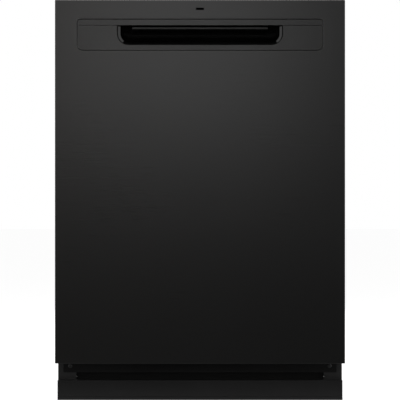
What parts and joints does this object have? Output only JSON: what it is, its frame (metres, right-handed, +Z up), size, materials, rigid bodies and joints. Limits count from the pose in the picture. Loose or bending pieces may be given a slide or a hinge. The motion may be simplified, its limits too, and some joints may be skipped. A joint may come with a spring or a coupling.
{
  "type": "built-in dishwasher",
  "caption": "Built-in dishwasher with a drop-down front door, hidden keys on its top edge, a recessed hand pocket, two sliding wire racks and turning spray arms.",
  "frame": {"origin": "on the floor under the middle of the machine", "axes": "+X to the machine's right as seen from the front, +Y to its back, +Z up"},
  "size_m": [0.603, 0.61, 0.84],
  "materials": {
    "door_sheet": "satin dark slate",
    "handle_trim": "satin, dark",
    "gloss_black": "polished",
    "lens": "clear, dark",
    "key": "fine matt",
    "stainless": "satin",
    "bright_steel": "bright",
    "zinc_steel": "zinc plated",
    "black_steel": "powder coat",
    "kick_steel": "satin",
    "seal_rubber": "matt",
    "bitumen_felt": "felt",
    "grey_plastic": "moulded",
    "dark_plastic": "moulded",
    "light_plastic": "moulded",
    "hose_plastic": "moulded",
    "nylon_wire": "nylon coated wire",
    "nylon_dark": "nylon coated wire"
  },
  "bodies": {
    "cabinet": {"tub": "stainless", "tub_gasket": "seal_rubber", "insulation_blanket": "bitumen_felt", "base_rail_left": "black_steel", "base_rail_right": "black_steel", "base_cross_rails": "black_steel", "access_panel": "kick_steel", "toe_kick": "kick_steel", "door_springs": "zinc_steel", "mounting_brackets": "zinc_steel", "latch_strike": "zinc_steel", "sump": "dark_plastic", "filter_plate": "stainless", "wash_pump": "dark_plastic", "drain_pump": "dark_plastic", "inlet_valve": "light_plastic", "inlet_hose": "hose_plastic", "heater_ring": "zinc_steel", "junction_box": "zinc_steel", "spray_riser": "grey_plastic", "rail_guides": "stainless"},
    "door": {"door_panel": "door_sheet", "door_liner": "stainless", "control_console": "gloss_black", "display_lens": "lens", "status_lens": "lens", "handle_fascia": "handle_trim", "handle_grip": "handle_trim", "handle_pocket": "gloss_black", "dispenser": "light_plastic", "door_vent": "grey_plastic", "hinge_arm_left": "zinc_steel", "hinge_arm_right": "zinc_steel", "door_latch": "grey_plastic"},
    "detergent_cover": {"detergent_cover": "light_plastic"},
    "rinse_aid_cap": {"rinse_aid_cap": "light_plastic"},
    "button_1": {"button_1": "key"},
    "button_2": {"button_2": "key"},
    "button_3": {"button_3": "key"},
    "button_4": {"button_4": "key"},
    "upper_rack": {"upper_rack_basket": "nylon_wire", "upper_rack_tines": "nylon_wire", "rack_feed_tube": "grey_plastic"},
    "lower_rack": {"lower_rack_basket": "nylon_wire", "lower_rack_tines": "nylon_wire", "silverware_basket": "nylon_dark"},
    "cup_shelf": {"cup_shelf": "nylon_dark"},
    "middle_spray_arm": {"middle_spray_arm": "grey_plastic"},
    "upper_rails": {"upper_rails": "bright_steel"},
    "fold_down_tines": {"fold_down_tines": "nylon_dark"},
    "wheels_front": {"wheels_front": "grey_plastic"},
    "wheels_rear": {"wheels_rear": "grey_plastic"},
    "top_spray_arm": {"top_spray_arm": "grey_plastic"},
    "lower_spray_arm": {"lower_spray_arm": "grey_plastic"},
    "fine_filter": {"fine_filter": "dark_plastic"},
    "float_cap": {"float_cap": "light_plastic"},
    "foot_front_left": {"foot_front_left": "zinc_steel"},
    "foot_front_right": {"foot_front_right": "zinc_steel"},
    "foot_rear_left": {"foot_rear_left": "zinc_steel"},
    "foot_rear_right": {"foot_rear_right": "zinc_steel"}
  },
  "joints": [
    {"name": "door_hinge", "type": "hinge", "parent": "cabinet", "child": "door", "pos_m": [0, -0.283, 0.14], "axis": [1, 0, 0], "range_deg": [0, 90], "stiffness_Nm_per_rad": 17, "deforming": ["door_springs"]},
    {"name": "upper_rack_slide", "type": "slide", "parent": "cabinet", "child": "upper_rack", "axis": [0, -1, 0], "range_m": [0, 0.45]},
    {"name": "upper_rail_slide", "type": "slide", "parent": "cabinet", "child": "upper_rails", "axis": [0, -1, 0], "range_m": [0, 0.225]},
    {"name": "lower_rack_slide", "type": "slide", "parent": "cabinet", "child": "lower_rack", "axis": [0, -1, 0], "range_m": [0, 0.15]},
    {"name": "wheels_front_roll", "type": "hinge", "parent": "lower_rack", "child": "wheels_front", "pos_m": [0, -0.149, 0.1883], "axis": [1, 0, 0], "range_deg": [0, 478.5]},
    {"name": "wheels_rear_roll", "type": "hinge", "parent": "lower_rack", "child": "wheels_rear", "pos_m": [0, 0.189, 0.1883], "axis": [1, 0, 0], "range_deg": [0, 478.5]},
    {"name": "cup_shelf_fold", "type": "hinge", "parent": "upper_rack", "child": "cup_shelf", "pos_m": [-0.238, 0.02357, 0.596], "axis": [0, -1, 0], "range_deg": [0, 85]},
    {"name": "fold_down_tines_fold", "type": "hinge", "parent": "lower_rack", "child": "fold_down_tines", "pos_m": [0.076, 0.049, 0.21], "axis": [0, -1, 0], "range_deg": [0, 88]},
    {"name": "lower_spray_arm_spin", "type": "hinge", "parent": "cabinet", "child": "lower_spray_arm", "pos_m": [0, 0.0095, 0.1735], "axis": [0, 0, 1], "continuous": true},
    {"name": "middle_spray_arm_spin", "type": "hinge", "parent": "upper_rack", "child": "middle_spray_arm", "pos_m": [0, 0.0095, 0.474], "axis": [0, 0, 1], "continuous": true},
    {"name": "top_spray_arm_spin", "type": "hinge", "parent": "cabinet", "child": "top_spray_arm", "pos_m": [0, 0.0095, 0.7708], "axis": [0, 0, 1], "continuous": true},
    {"name": "fine_filter_turn", "type": "hinge", "parent": "cabinet", "child": "fine_filter", "pos_m": [0.042, -0.0325, 0.1512], "axis": [0, 0, 1], "range_deg": [0, 90]},
    {"name": "float_cap_rise", "type": "slide", "parent": "cabinet", "child": "float_cap", "axis": [0, 0, 1], "range_m": [0, 0.008]},
    {"name": "detergent_cover_slide", "type": "slide", "parent": "door", "child": "detergent_cover", "axis": [-1, 0, 0], "range_m": [0, 0.074]},
    {"name": "rinse_aid_cap_turn", "type": "hinge", "parent": "door", "child": "rinse_aid_cap", "pos_m": [0.073, -0.247, 0.553], "axis": [0, 1, 0], "range_deg": [0, 90]},
    {"name": "button_1_press", "type": "slide", "parent": "door", "child": "button_1", "axis": [0, 0, -1], "range_m": [0, 0.001], "stiffness_N_per_m": 800, "springref_m": -0.0006},
    {"name": "button_2_press", "type": "slide", "parent": "door", "child": "button_2", "axis": [0, 0, -1], "range_m": [0, 0.001], "stiffness_N_per_m": 800, "springref_m": -0.0006},
    {"name": "button_3_press", "type": "slide", "parent": "door", "child": "button_3", "axis": [0, 0, -1], "range_m": [0, 0.001], "stiffness_N_per_m": 800, "springref_m": -0.0006},
    {"name": "button_4_press", "type": "slide", "parent": "door", "child": "button_4", "axis": [0, 0, -1], "range_m": [0, 0.001], "stiffness_N_per_m": 800, "springref_m": -0.0006},
    {"name": "foot_front_left_screw", "type": "slide", "parent": "cabinet", "child": "foot_front_left", "axis": [0, 0, -1], "range_m": [0, 0.03]},
    {"name": "foot_front_right_screw", "type": "slide", "parent": "cabinet", "child": "foot_front_right", "axis": [0, 0, -1], "range_m": [0, 0.03]},
    {"name": "foot_rear_left_screw", "type": "slide", "parent": "cabinet", "child": "foot_rear_left", "axis": [0, 0, -1], "range_m": [0, 0.03]},
    {"name": "foot_rear_right_screw", "type": "slide", "parent": "cabinet", "child": "foot_rear_right", "axis": [0, 0, -1], "range_m": [0, 0.03]}
  ],
  "couplings": [
    {"joint": "upper_rack_slide", "follows": "door_hinge", "m_per_rad": 0.28648},
    {"joint": "upper_rail_slide", "follows": "door_hinge", "m_per_rad": 0.14324},
    {"joint": "lower_rack_slide", "follows": "door_hinge", "m_per_rad": 0.095493},
    {"joint": "wheels_front_roll", "follows": "door_hinge", "ratio": 5.3052},
    {"joint": "wheels_rear_roll", "follows": "door_hinge", "ratio": 5.3052}
  ]
}
